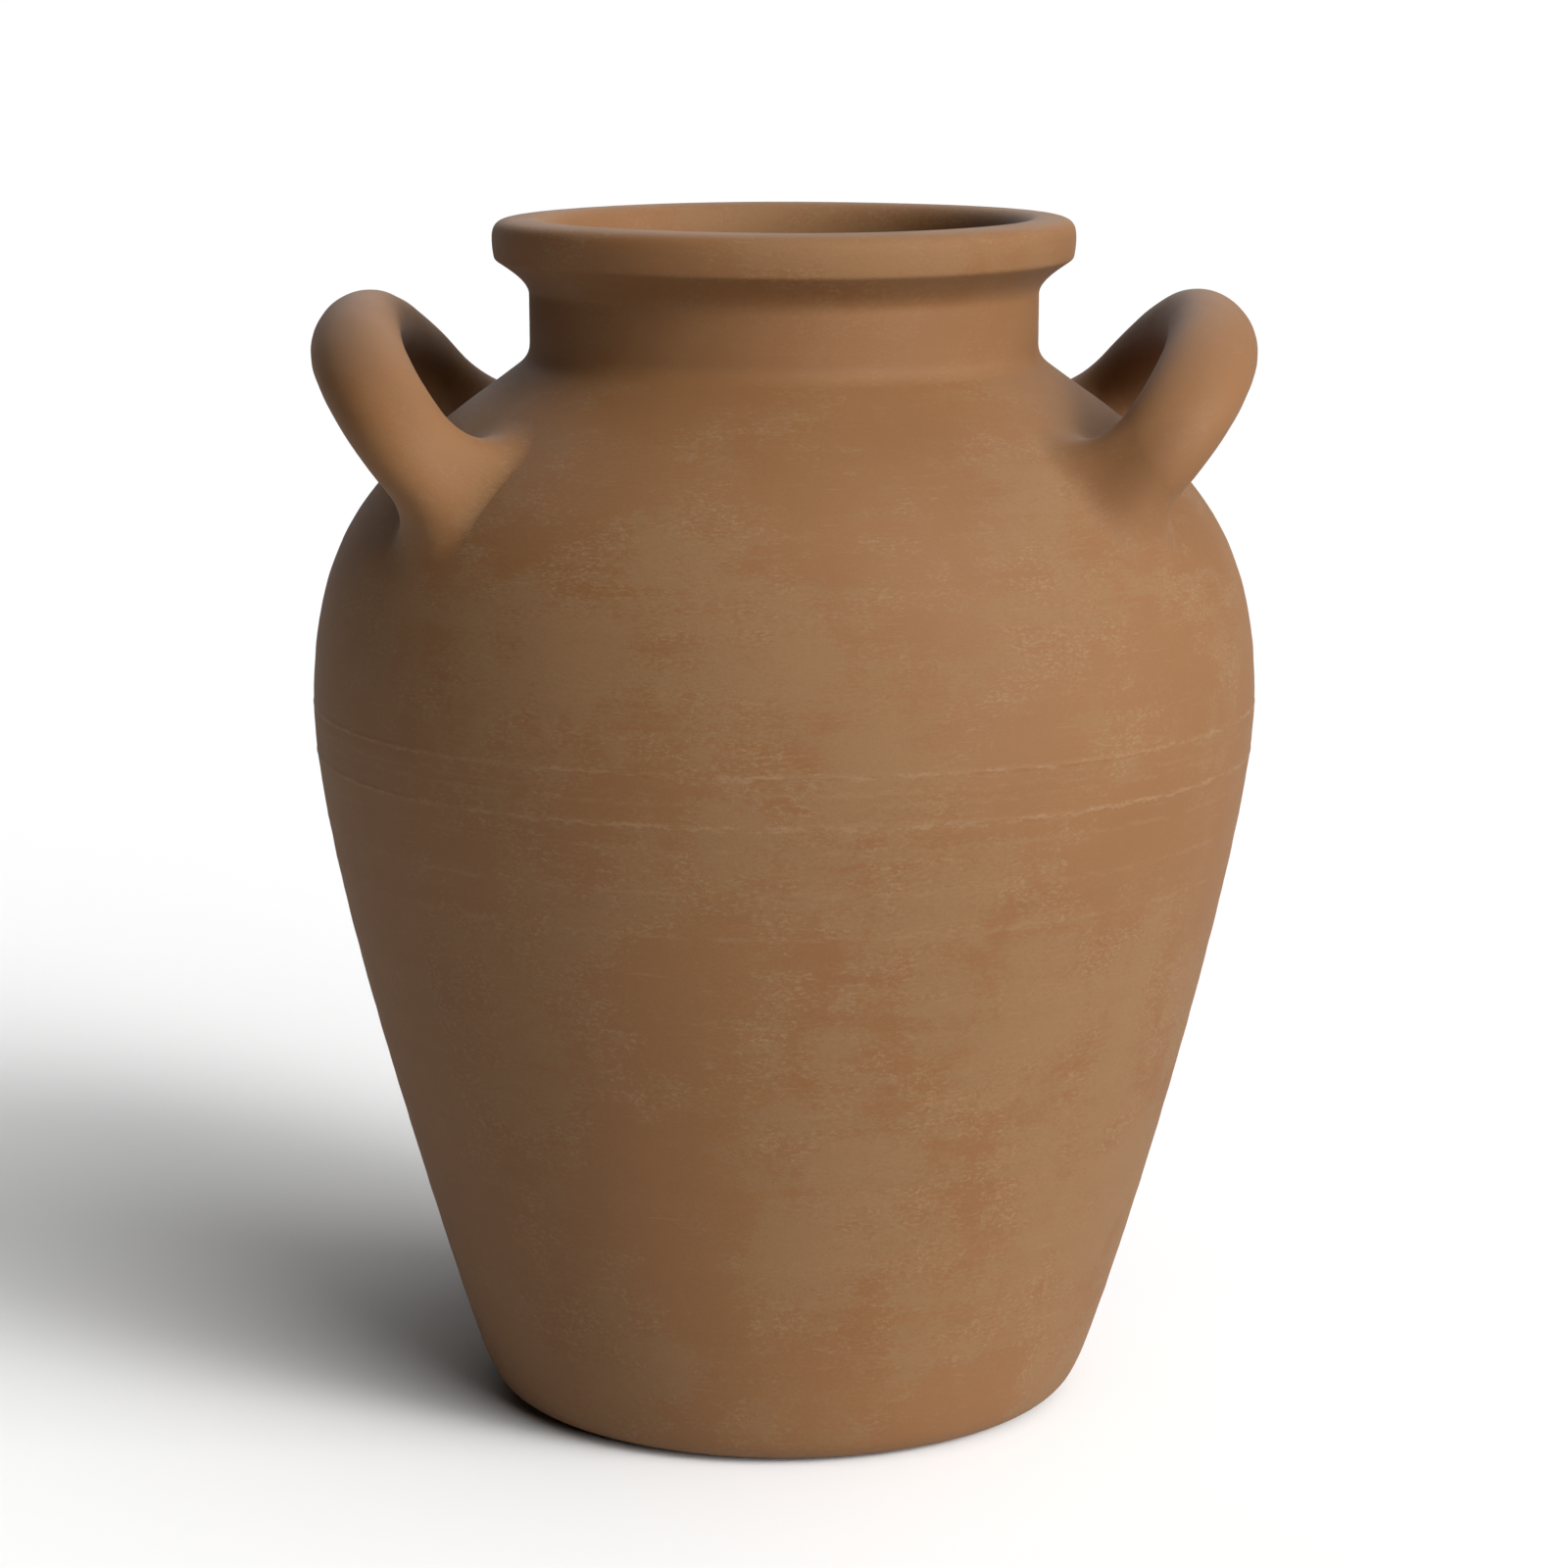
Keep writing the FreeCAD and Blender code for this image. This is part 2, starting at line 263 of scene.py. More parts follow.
def soften(outline):
    """The outline at even steps, with its corners rounded by a small running average."""
    along = length_along(outline)
    count = int(along[-1] / PROFILE_STEP)
    even = np.linspace(0.0, along[-1], count)
    points = np.stack([np.interp(even, along, outline[:, axis]) for axis in (0, 1)], axis=1)
    reach = int(3 * PROFILE_SOFTNESS / PROFILE_STEP)
    offsets = np.arange(-reach, reach + 1) * PROFILE_STEP
    weights = np.exp(-0.5 * (offsets / PROFILE_SOFTNESS) ** 2)
    weights /= weights.sum()
    mirror = np.array([-1.0, 1.0])
    before = points[1:reach + 1][::-1] * mirror
    after = points[-reach - 1:-1][::-1] * mirror
    padded = np.concatenate([before, points, after])
    return np.stack([np.convolve(padded[:, axis], weights, "valid") for axis in (0, 1)], axis=1)


PROFILE = jar_profile()
ALONG = length_along(PROFILE)
CREST = int(np.argmax(PROFILE[:, 1]))
SLOPE = unit(np.gradient(PROFILE, axis=0))
NORMAL = np.stack([SLOPE[:, 1], -SLOPE[:, 0]], axis=1)
BEND = np.linalg.norm(np.gradient(NORMAL, axis=0), axis=1) / PROFILE_STEP


def place(height, inside=False):
    """How far along the profile a height is, on the outside or on the inside."""
    if inside:
        return float(np.interp(height, PROFILE[CREST:, 1][::-1], ALONG[CREST:][::-1]))
    return float(np.interp(height, PROFILE[:CREST, 1], ALONG[:CREST]))


def outside_radius(height):
    return np.interp(height, PROFILE[:CREST, 1], PROFILE[:CREST, 0])


def outside_lean(height):
    """How much the outside faces upwards: the upward part of its normal."""
    return np.interp(height, PROFILE[:CREST, 1], NORMAL[:CREST, 1])


def on_profile(values, places):
    """Values given along the profile, at some places on it."""
    return np.interp(places, ALONG, values)


# Relief: how far the clay stands out from the profile, in metres

rng = np.random.default_rng(SEED)


def make_waves(count, longest, shortest):
    """Sine waves in random directions: their wave vectors and their starts."""
    lengths = np.geomspace(longest, shortest, count)
    vectors = unit(rng.normal(size=(count, 3))) * (2 * math.pi / lengths[:, None])
    return vectors, rng.uniform(0.0, 2 * math.pi, count)


def ripple(points, waves):
    """The sum of some waves at some points, mostly between -1 and 1."""
    vectors, starts = waves
    return np.sin(points @ vectors.T + starts).sum(axis=-1) / math.sqrt(len(starts))


WARP_WAVES = [make_waves(5, 0.34, 0.13) for axis in range(3)]
LINE_WAVES = make_waves(10, 0.40, 0.07)
BREAK_WAVES = make_waves(14, 0.20, 0.012)
LUMP_WAVES = make_waves(12, 0.070, 0.016)

# The jar's unevenness as a whole, and the height over which it sets in above the foot
WARP = 0.28 * MM
FOOT_FADE = 60.0 * MM

# Relief fades out between these distances from a handle's root
ROOT_CLEAR_FROM = 30.0 * MM
ROOT_CLEAR_TO = 55.0 * MM

# Outside: ridges just above the joining band's edges, two fainter ones under it, and turning
# lines as pitch and depth. All of them drift up and down, and the ridges are broken.
RIDGES = [BELLY_HEIGHT + 0.7 * MM, BAND_BOTTOM + 0.8 * MM]
RIDGE_HALF_WIDTH = 0.75 * MM
RIDGE_HEIGHT = 0.22 * MM
FAINT_RIDGES = [227.5 * MM, 211.7 * MM]
FAINT_RIDGE_HEIGHT = 0.07 * MM
RIDGE_DRIFT = 0.35 * MM
RIDGE_LOWEST_SHARE = 0.35
BREAK_RANGE = (-0.9, 1.1)
BREAK_STRETCH = np.array([1.0, 1.0, 0.2])
TURNING_LINES = [(21.0 * MM, 0.045 * MM), (13.1 * MM, 0.030 * MM), (8.3 * MM, 0.016 * MM)]
TURNING_DRIFT = 0.8

# Finger spirals inside, on the wall and on the floor
THROWING_PITCH = 10.5 * MM
THROWING_DEPTH = 0.65 * MM
THROWING_DRIFT = 0.25
THROWING_SHARPNESS = 1.4
THROWING_FADE = 22.0 * MM
THROWING_LOSS = 0.9
THROWING_SHARE = 0.8
THROWING_VARIATION = 0.25
FLOOR_PITCH = 9.0 * MM
FLOOR_DEPTH = 0.5 * MM
FLOOR_SHARPNESS = 1.3
FLOOR_SPIRAL_START = (6.0 * MM, 20.0 * MM)
FLOOR_SPIRAL_END = (70.0 * MM, 92.0 * MM)
FLOOR_RELIEF_FADE = (FLOOR + 1.0 * MM, FLOOR + 6.0 * MM)
BUTTON_HEIGHT = 1.2 * MM
BUTTON_RADIUS = 7.0 * MM

# The foot's hollow, with the arcs left by the cutting wire
FOOT_HOLLOW = 1.1 * MM
FOOT_HOLLOW_EDGE = (FOOT_RADIUS - 20.0 * MM, FOOT_RADIUS - 5.0 * MM)
WIRE_PITCH = 9.0 * MM
WIRE_DEPTH = 0.12 * MM
WIRE_DRIFT = 0.5
WIRE_CENTRE = np.array([0.21, -0.06, 0.0])


def warp(points):
    """The jar's slight unevenness as a whole. It leaves the foot flat."""
    moved = points.copy()
    off_foot = smooth_step(0.0, FOOT_FADE, points[..., 2])
    for axis, waves in enumerate(WARP_WAVES):
        held = off_foot if axis == 2 else 1.0
        moved[..., axis] += WARP * ripple(points, waves) * held
    return moved


def root_clearance(points):
    """0 round the roots of the handles, rising to 1 away from them."""
    folded = np.abs(points) * np.array([1.0, -1.0, 1.0])
    distance = np.linalg.norm(folded - HANDLE_ROOT, axis=-1)
    return smooth_step(ROOT_CLEAR_FROM, ROOT_CLEAR_TO, distance)


def outside_relief(points):
    """Faint turning lines, and the broken ridges at the edges of the joining band."""
    height = points[..., 2]
    drift = ripple(points, LINE_WAVES)
    broken = smooth_step(*BREAK_RANGE, ripple(points * BREAK_STRETCH, BREAK_WAVES))
    relief = np.zeros(height.shape)
    for pitch, depth in TURNING_LINES:
        turns = 2 * math.pi * height / pitch
        relief += depth * np.sin(turns + TURNING_DRIFT * drift + pitch / MM)
    for ridges, ridge_height in ((RIDGES, RIDGE_HEIGHT), (FAINT_RIDGES, FAINT_RIDGE_HEIGHT)):
        for ridge in ridges:
            away = (height - ridge - RIDGE_DRIFT * drift) / RIDGE_HALF_WIDTH
            whole = RIDGE_LOWEST_SHARE + (1 - RIDGE_LOWEST_SHARE) * broken
            relief += ridge_height * whole * np.exp(-away ** 2)
    return relief * root_clearance(points)


def inside_relief(points, angle):
    """The spiral that the thrower's fingers leave, fading out in the neck."""
    height = points[..., 2]
    drift = ripple(points, LINE_WAVES)
    turns = height / THROWING_PITCH + angle / (2 * math.pi) + THROWING_DRIFT * drift
    spiral = (0.5 - 0.5 * np.cos(2 * math.pi * turns)) ** THROWING_SHARPNESS
    strength = 1.0 - THROWING_LOSS * smooth_step(BORE_FOOT - THROWING_FADE, BORE_FOOT, height)
    strength *= smooth_step(FLOOR + FLOOR_CORNER / 3, FLOOR + FLOOR_CORNER, height)
    return THROWING_DEPTH * spiral * strength * (THROWING_SHARE + THROWING_VARIATION * drift)


def floor_relief(points, angle):
    """The finger spiral on the floor, with a small button in its middle."""
    radius = np.hypot(points[..., 0], points[..., 1])
    turns = radius / FLOOR_PITCH - angle / (2 * math.pi)
    spiral = (0.5 - 0.5 * np.cos(2 * math.pi * turns)) ** FLOOR_SHARPNESS
    strength = smooth_step(*FLOOR_SPIRAL_START, radius) * (1 - smooth_step(*FLOOR_SPIRAL_END, radius))
    button = BUTTON_HEIGHT * np.exp(-(radius / BUTTON_RADIUS) ** 2)
    return FLOOR_DEPTH * spiral * strength + button


def foot_relief(points):
    """The hollow of the foot and the arcs of the wire that cut it from the wheel."""
    radius = np.hypot(points[..., 0], points[..., 1])
    inner = 1 - smooth_step(*FOOT_HOLLOW_EDGE, radius)
    arcs = np.linalg.norm(points - WIRE_CENTRE, axis=-1)
    arcs = np.sin(2 * math.pi * arcs / WIRE_PITCH + WIRE_DRIFT * ripple(points, LINE_WAVES))
    return inner * (WIRE_DEPTH * arcs - FOOT_HOLLOW)


# Meshes

def add_piece(node, rows, sharp_rows, closed, bloom):
    """One piece of clay from rows of points, each row a closed ring.

    The last row joins the first, or else each end closes on its own centre. The edges along
    the sharp rows stay crisp. Bloom is how much pale dust each point takes.
    """
    row_count, column_count = rows.shape[:2]
    vertices = rows.reshape(-1, 3)
    dust = bloom.reshape(-1)
    row = np.arange(row_count if closed else row_count - 1)[:, None]
    column = np.arange(column_count)[None, :]
    next_row = (row + 1) % row_count
    next_column = (column + 1) % column_count
    quads = np.stack([
        row * column_count + column,
        row * column_count + next_column,
        next_row * column_count + next_column,
        next_row * column_count + column,
    ], axis=-1).reshape(-1, 4).tolist()
    if not closed:
        first = len(vertices)
        ends = (rows[0].mean(axis=0), rows[-1].mean(axis=0))
        vertices = np.concatenate([vertices, ends])
        dust = np.concatenate([dust, [bloom[0].mean(), bloom[-1].mean()]])
        start = (row_count - 1) * column_count
        for here in range(column_count):
            there = (here + 1) % column_count
            quads.append([first, there, here])
            quads.append([first + 1, start + here, start + there])
    mesh = bpy.data.meshes.new("clay_" + node)
    mesh.from_pydata(vertices.tolist(), [], quads)
    if signed_volume(mesh) < 0:
        mesh.flip_normals()
    mesh.shade_smooth()
    keep_sharp(mesh, sharp_rows, column_count)
    bloom_values = mesh.attributes.new("bloom", "FLOAT", "POINT").data
    bloom_values.foreach_set("value", dust.astype(np.float32))
    mesh.materials.append(terracotta)
    piece = bpy.data.objects.new("clay_" + node, mesh)
    bpy.context.scene.collection.objects.link(piece)
    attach(piece, "root")
    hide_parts(node)


def signed_volume(mesh):
    mesh.calc_loop_triangles()
    corners = np.empty(len(mesh.loop_triangles) * 3, np.int32)
    mesh.loop_triangles.foreach_get("vertices", corners)
    points = np.empty(len(mesh.vertices) * 3, np.float32)
    mesh.vertices.foreach_get("co", points)
    first, second, third = np.moveaxis(points.reshape(-1, 3)[corners.reshape(-1, 3)], 1, 0)
    return np.einsum("ij,ij->", first, np.cross(second, third)) / 6


def keep_sharp(mesh, sharp_rows, column_count):
    """Marks the edges that run along some rows, so that shading breaks there."""
    ends = np.empty(len(mesh.edges) * 2, np.int32)
    mesh.edges.foreach_get("vertices", ends)
    rows = ends.reshape(-1, 2) // column_count
    sharp = (rows[:, 0] == rows[:, 1]) & np.isin(rows[:, 0], sharp_rows)
    mesh.attributes.new("sharp_edge", "BOOLEAN", "EDGE").data.foreach_set("value", sharp)


def between(first, last, count):
    """Rows of points between two rows, without the two themselves."""
    shares = np.linspace(0.0, 1.0, count + 2)[1:-1, None, None]
    return first + (last - first) * shares


# The body's rings

# Radius of the small fans of triangles in the middle of the foot and of the floor
CENTRE_GAP = 5.0 * MM

# Where the bloom thins out on the neck, and how much of it comes back on the rim
NECK_THINNING = 0.70
RIM_RETURN = 0.45
THINNING_START = NECK_FOOT - 14.0 * MM
THINNING_END = NECK_FOOT + 4.0 * MM

TURN = np.arange(ANGLES) * 2 * math.pi / ANGLES


def stations(start, end):
    """Places from one to another along the profile, closer together at bends, ridges and ends."""
    fine = np.linspace(start, end, STATION_SAMPLES)
    heights = on_profile(PROFILE[:, 1], fine)
    density = (1 + BEND_GAIN * on_profile(BEND, fine)) / STEP
    if start < ALONG[CREST]:
        for ridge in RIDGES + FAINT_RIDGES:
            density += np.exp(-((heights - ridge) / (3 * RIDGE_HALF_WIDTH)) ** 2) / RIDGE_STEP
    reached = np.cumsum(density) * (fine[1] - fine[0])
    reached -= reached[0]
    count = max(FEWEST_STEPS, int(math.ceil(reached[-1])))
    places = np.interp(np.linspace(0.0, reached[-1], count + 1), reached, fine)
    return np.concatenate([[start, start + EDGE_STEP], places[1:-1], [end - EDGE_STEP, end]])


def skin(start, end, relief):
    """The rows of the turned surface between two places on the profile."""
    places = stations(start, end)
    radius = on_profile(PROFILE[:, 0], places)[:, None]
    height = on_profile(PROFILE[:, 1], places)[:, None]
    lean_out = on_profile(NORMAL[:, 0], places)[:, None]
    lean_up = on_profile(NORMAL[:, 1], places)[:, None]

    def turned(radii, heights):
        return np.stack([
            radii * np.cos(TURN),
            radii * np.sin(TURN),
            heights * np.ones(ANGLES),
        ], axis=-1)

    amount = relief(turned(radius, height))
    return warp(turned(radius + lean_out * amount, height + lean_up * amount))


def outer_skin(start, end):
    return skin(start, end, outside_relief)


def inner_skin(start, end):
    return skin(start, end, lambda points: inside_relief(points, TURN) + floor_relief_on(points))


def floor_relief_on(points):
    flat = 1 - smooth_step(*FLOOR_RELIEF_FADE, points[..., 2])
    return flat * floor_relief(points, TURN)


def body_bloom(rows):
    """Pale dust on the body, less of it on the neck and some on the rim."""
    thinned = NECK_THINNING * smooth_step(THINNING_START, THINNING_END, rows[..., 2])
    thinned -= RIM_RETURN * smooth_step(NECK_TOP, LIP_UNDERSIDE_HEIGHT, rows[..., 2])
    return 1.0 - thinned


def add_ring(node, bottom, top, inner_bottom=None):
    """A ring of the wall between two heights, with flat seams to its neighbours.

    The top has a height outside and a height inside, and so has the bottom if two are given.
    """
    if inner_bottom is None:
        inner_bottom = bottom
    outer = outer_skin(place(bottom), place(top[0]))
    inner = inner_skin(place(top[1], inside=True), place(inner_bottom, inside=True))
    rows = np.concatenate([
        outer,
        between(outer[-1], inner[0], SEAM_ROWS),
        inner,
        between(inner[-1], outer[0], SEAM_ROWS),
    ])
    inner_start = len(outer) + SEAM_ROWS
    inner_end = inner_start + len(inner) - 1
    sharp = [0, len(outer) - 1, inner_start, inner_end]
    add_piece(node, rows, sharp, True, body_bloom(rows))


def add_base():
    """The floor slab: a disc with the round of the heel, hollowed foot and finger spiral."""
    under = skin(CENTRE_GAP, place(BASE_TOP), foot_and_heel_relief)
    over = inner_skin(place(BASE_TOP, inside=True), ALONG[-1] - CENTRE_GAP)
    rows = np.concatenate([under, between(under[-1], over[0], SEAM_ROWS), over])
    sharp = [len(under) - 1, len(under) + SEAM_ROWS]
    add_piece("base_disc", rows, sharp, False, body_bloom(rows))


def foot_and_heel_relief(points):
    return foot_relief(points) + outside_relief(points) * smooth_step(0.0, BASE_TOP, points[..., 2])


def add_rim():
    """The rolled rim, from the neck's top outside, over the lip and down to it inside."""
    over = skin(place(NECK_TOP), place(NECK_TOP, inside=True), outside_relief)
    rows = np.concatenate([over, between(over[-1], over[0], SEAM_ROWS)])
    add_piece("rim_ring", rows, [0, len(over) - 1], True, body_bloom(rows))


# The handles and their lutings, modelled at the right front and mirrored to the other places

ROPE_TURN = np.arange(ROPE_ANGLES) * 2 * math.pi / ROPE_ANGLES
CENTRE_LINE = bezier([
    HANDLE_ROOT,
    HANDLE_ROOT + HANDLE_ROOT_PULL,
    HANDLE_TOP + HANDLE_TOP_PULL,
    HANDLE_TOP,
], CENTRE_POINTS)
CENTRE_ALONG = length_along(CENTRE_LINE)
HALF_LENGTH = CENTRE_ALONG[-1]
CENTRE_SLOPE = unit(np.gradient(CENTRE_LINE, axis=0))
LOOP_RISE = unit((HANDLE_TOP - HANDLE_ROOT) * np.array([1.0, 0.0, 1.0]))
LOOP_NORMAL = np.array([LOOP_RISE[2], 0.0, -LOOP_RISE[0]])

# On the legs the rope's broad face is a little flatter, and turned towards the neck
FACE_TURN = math.radians(29.0)
LEG_SQUARENESS = 0.18

# How far either way from its root a line along the leg may meet the shoulder
ROOT_SEARCH = 35.0 * MM
ROOT_HALVINGS = 40

# How far back along a luting's faces its tangents are taken
TANGENT_STEP = 1.0 * MM


def on_leg(distance, angle):
    """Points on the leg's surface at distances from its root; below 0 the leg runs straight on."""
    held = np.clip(distance, 0.0, HALF_LENGTH)
    centre = np.stack([np.interp(held, CENTRE_ALONG, CENTRE_LINE[:, axis]) for axis in range(3)], -1)
    slope = [np.interp(held, CENTRE_ALONG, CENTRE_SLOPE[:, axis]) for axis in range(3)]
    slope = unit(np.stack(slope, -1))
    centre = centre + slope * np.minimum(distance, 0.0)[..., None]
    in_plane = unit(np.cross(slope, LOOP_NORMAL))
    across = unit(np.cross(in_plane, slope))
    along = (held / HALF_LENGTH)[..., None]
    share = along * (2.0 - along)
    half = ROOT_HALF + (TOP_HALF - ROOT_HALF) * share
    flatness = 1.0 / (1.0 + LEG_SQUARENESS * (1.0 - share))
    turn = FACE_TURN * (1.0 - along ** 2) ** 2
    wide = across * np.cos(turn) - in_plane * np.sin(turn)
    thick = in_plane * np.cos(turn) + across * np.sin(turn)
    return (
        centre
        + wide * half[..., :1] * flattened(np.cos(angle)[..., None], flatness)
        + thick * half[..., 1:] * flattened(np.sin(angle)[..., None], flatness)
    )


def flattened(swing, power):
    """A sine or cosine changed so that an oval's four sides come out flatter."""
    return np.sign(swing) * np.abs(swing) ** power


def to_shoulder(points):
    """Points moved straight out or in until they lie on the outside of the body."""
    moved = points.copy()
    radius = np.hypot(points[..., 0], points[..., 1])
    moved[..., :2] *= (outside_radius(points[..., 2]) / radius)[..., None]
    return moved


def root_distances():
    """How far from the root each line along the leg meets the shoulder."""
    low = np.full(ROPE_ANGLES, -ROOT_SEARCH)
    high = np.full(ROPE_ANGLES, ROOT_SEARCH)
    for halving in range(ROOT_HALVINGS):
        middle = (low + high) / 2
        points = on_leg(middle, ROPE_TURN)
        inside = np.hypot(points[:, 0], points[:, 1]) < outside_radius(points[:, 2])
        low = np.where(inside, middle, low)
        high = np.where(inside, high, middle)
    return (low + high) / 2


ROOT_DISTANCES = root_distances()
ROOT_RING = on_leg(ROOT_DISTANCES, ROPE_TURN)


def handle_rows():
    """The right handle: front cap, front leg, back leg and back cap."""
    shares = np.linspace(0.0, 1.0, ROPE_ROWS)[:, None]
    distances = ROOT_DISTANCES + (HALF_LENGTH - ROOT_DISTANCES) * shares
    leg = on_leg(distances, np.broadcast_to(ROPE_TURN, distances.shape))
    middle = leg[0].mean(axis=0)
    cap_shares = np.linspace(CAP_INNER_SHARE, 1.0, CAP_ROWS, endpoint=False)[:, None, None]
    cap = to_shoulder(middle + (leg[0] - middle) * cap_shares)
    front = np.concatenate([cap, leg])
    back = front[:-1][::-1] * np.array([1.0, -1.0, 1.0])
    return np.concatenate([front, back])


def luting_rows(gain):
    """The coil worked into the corner round the right front root, made larger by some gain.

    Round each line of the leg it has a face on the leg, a face on the shoulder and a hollow
    skin from one to the other, tangent to both.
    """
    middle = ROOT_RING.mean(axis=0)
    shoulder_normal = unit(ROOT_RING * np.array([1.0, 1.0, 0.0]))
    lean = outside_lean(ROOT_RING[:, 2])[:, None]
    shoulder_normal = shoulder_normal * np.sqrt(1 - lean ** 2) + np.array([0.0, 0.0, 1.0]) * lean
    away = ROOT_RING - middle
    away = unit(away - shoulder_normal * np.sum(away * shoulder_normal, axis=1, keepdims=True))
    rise = away[:, 2] / np.sqrt(1 - outside_lean(middle[2]) ** 2)
    downhill = np.clip(-rise, 0.0, 1.0)
    uphill = np.clip(rise, 0.0, 1.0)
    wave = gain * (1 + LUTING_UNEVENNESS * ripple(ROOT_RING, LUMP_WAVES))
    spread = LUTING_SPREAD + LUTING_TAIL * downhill ** 3 + LUTING_UPHILL_SPREAD * uphill ** 2
    spread *= wave
    climb = LUTING_CLIMB * (1 - LUTING_DROOP * downhill) + LUTING_UPHILL_CLIMB * uphill ** 2
    climb *= wave

    leg_shares = np.linspace(1.0, 0.0, FACE_ROWS)[:, None]
    leg_turn = np.broadcast_to(ROPE_TURN, (FACE_ROWS, ROPE_ANGLES))
    leg_face = on_leg(ROOT_DISTANCES + climb * leg_shares, leg_turn)
    foot_shares = np.linspace(0.0, 1.0, FACE_ROWS)[1:, None, None]
    foot_face = to_shoulder(ROOT_RING + away * spread[:, None] * foot_shares)

    top = leg_face[0]
    just_under = on_leg(ROOT_DISTANCES + climb - TANGENT_STEP, ROPE_TURN)
    toe = foot_face[-1]
    just_inside = to_shoulder(ROOT_RING + away * (spread[:, None] - TANGENT_STEP))
    top_pole = top + unit(just_under - top) * (climb * LUTING_ROUNDNESS)[:, None]
    toe_pole = toe + unit(just_inside - toe) * (spread * LUTING_ROUNDNESS)[:, None]
    share = np.linspace(0.0, 1.0, HOLLOW_ROWS + 2)[1:-1, None, None]
    hollow = (
        toe * (1 - share) ** 3
        + toe_pole * 3 * share * (1 - share) ** 2
        + top_pole * 3 * share ** 2 * (1 - share)
        + top * share ** 3
    )
    return np.concatenate([leg_face, foot_face, hollow])


def lumpy(rows, depth):
    """Hand-made unevenness: points moved by small waves."""
    return rows + depth * np.stack([
        ripple(rows, LUMP_WAVES),
        ripple(rows[..., [1, 2, 0]], LUMP_WAVES),
        ripple(rows[..., [2, 0, 1]], LUMP_WAVES),
    ], axis=-1)


# How lumpy the handles are, and how little bloom they take
HANDLE_LUMPS = 0.10 * MM
HANDLE_BLOOM = 0.3
LUTING_BLOOM_BLEND = 9.0 * MM


def add_handles():
    """Both handles, each with a luting round its front root and a larger one round its back root."""
    loop = handle_rows()
    lutings = (("front", 1.0, luting_rows(1.0)), ("back", -1.0, luting_rows(LUTING_BACK_GAIN)))
    loop_sharp = [CAP_ROWS, len(loop) - 1 - CAP_ROWS]
    luting_sharp = [0, FACE_ROWS - 1, 2 * FACE_ROWS - 2]
    for side, mirror_x in (("right", 1.0), ("left", -1.0)):
        mirrored = lumpy(loop * np.array([mirror_x, 1.0, 1.0]), HANDLE_LUMPS)
        bloom = np.full(loop.shape[:2], HANDLE_BLOOM)
        add_piece("handle_" + side, warp(mirrored), loop_sharp, False, bloom)
        for end, mirror_y, luting in lutings:
            mirrored = lumpy(luting * np.array([mirror_x, mirror_y, 1.0]), HANDLE_LUMPS)
            node = "handle_" + side + "_" + end + "_luting"
            add_piece(node, warp(mirrored), luting_sharp, True, luting_bloom(luting))


def luting_bloom(rows):
    """From the handle's bloom at the top of each line to the body's at its toe."""
    off_body = np.hypot(rows[..., 0], rows[..., 1]) - outside_radius(rows[..., 2])
    on_body = 1 - smooth_step(0.0, LUTING_BLOOM_BLEND, off_body)
    return HANDLE_BLOOM + (1 - HANDLE_BLOOM) * on_body


# The terracotta

class Graph:
    """Short ways to add nodes to a material and join them up."""

    def __init__(self, name):
        self.material = bpy.data.materials.new(name)
        self.material.use_nodes = True
        self.tree = self.material.node_tree
        self.tree.nodes.clear()

    def node(self, kind, **settings):
        made = self.tree.nodes.new(kind)
        for name, value in settings.items():
            setattr(made, name, value)
        return made

    def feed(self, socket, value):
        if isinstance(value, bpy.types.NodeSocket):
            self.tree.links.new(value, socket)
        else:
            socket.default_value = value

    def maths(self, operation, first, second=0.0):
        made = self.node("ShaderNodeMath", operation=operation)
        self.feed(made.inputs[0], first)
        self.feed(made.inputs[1], second)
        return made.outputs[0]

    def plus(self, first, second):
        return self.maths("ADD", first, second)

    def minus(self, first, second):
        return self.maths("SUBTRACT", first, second)

    def product(self, first, second):
        return self.maths("MULTIPLY", first, second)

    def larger(self, first, second):
        return self.maths("MAXIMUM", first, second)

    def distance(self, first, second):
        return self.maths("ABSOLUTE", self.minus(first, second))

    def noise(self, vector, stretch, scale, detail, roughness):
        """Noise at a place whose third part is stretched first, which makes level streaks."""
        stretched = self.node("ShaderNodeVectorMath", operation="MULTIPLY")
        self.feed(stretched.inputs[0], vector)
        self.feed(stretched.inputs[1], (1.0, 1.0, stretch))
        made = self.node("ShaderNodeTexNoise")
        self.feed(made.inputs["Vector"], stretched.outputs[0])
        self.feed(made.inputs["Scale"], scale)
        self.feed(made.inputs["Detail"], detail)
        self.feed(made.inputs["Roughness"], roughness)
        return made.outputs[0]

    def step(self, value, low, high, start=0.0, end=1.0):
        """A smooth change from start to end as the value goes from low to high."""
        made = self.node("ShaderNodeMapRange", interpolation_type="SMOOTHSTEP")
        for socket, given in zip(made.inputs, (value, low, high, start, end)):
            self.feed(socket, given)
        return made.outputs[0]

    def mix(self, share, first, second):
        made = self.node("ShaderNodeMix", data_type="RGBA")
        self.feed(made.inputs[0], share)
        self.feed(made.inputs[6], first)
        self.feed(made.inputs[7], second)
        return made.outputs[2]

    def finish(self, shader):
        output = self.node("ShaderNodeOutputMaterial")
        self.feed(output.inputs["Surface"], shader.outputs[0])


# Clay as fired, clay where it fired darker, the thin bloom and the thicker dust
ORANGE = (0.1440, 0.0635, 0.0198, 1.0)
DEEP_ORANGE = (0.1390, 0.0585, 0.0168, 1.0)
BLOOM = (0.1465, 0.0762, 0.0309, 1.0)
PALE_DUST = (0.1850, 0.1070, 0.0530, 1.0)

